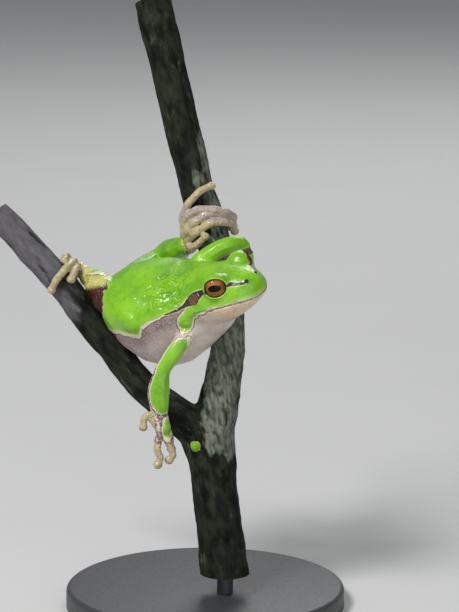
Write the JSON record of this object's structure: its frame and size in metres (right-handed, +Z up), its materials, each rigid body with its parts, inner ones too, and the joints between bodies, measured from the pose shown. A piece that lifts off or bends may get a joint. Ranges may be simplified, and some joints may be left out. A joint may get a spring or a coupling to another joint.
{
  "type": "tree frog",
  "caption": "Green tree frog resting in the fork of a cut twig, one arm hanging down, its feet gripping the branches, on a small round display base.",
  "frame": {"origin": "centre of the underside of the display base", "axes": "+Z up, -Y towards the viewer of the picture, +X to the viewer's right. The snout points to +X and a little to -Y and up."},
  "size_m": [0.0721, 0.0623, 0.1198],
  "materials": {
    "skin": "moist, fine-grained skin, green above with a cream edge, lilac-brown flank and pale belly",
    "digits": "moist tan skin with pale spots",
    "eye": "clear gloss over a coppery iris with a level dark pupil",
    "bark": "matt mottled grey bark with darker patches",
    "stand": "satin dark grey paint"
  },
  "bodies": {
    "root": {"head": "skin", "torso": "skin", "thigh_left": "skin", "thigh_right": "skin", "shank_left": "skin", "shank_right": "skin", "upper_arm_left": "skin", "upper_arm_right": "skin", "forearm_left": "skin", "forearm_right": "skin", "hand_left": "digits", "hand_right": "digits", "foot_left": "digits", "foot_right": "digits", "eye_left": "eye", "eye_right": "eye", "perch_stem": "bark", "perch_branch_left": "bark", "perch_branch_right": "bark", "stand_base": "stand", "stand_rod": "stand"}
  },
  "joints": []
}
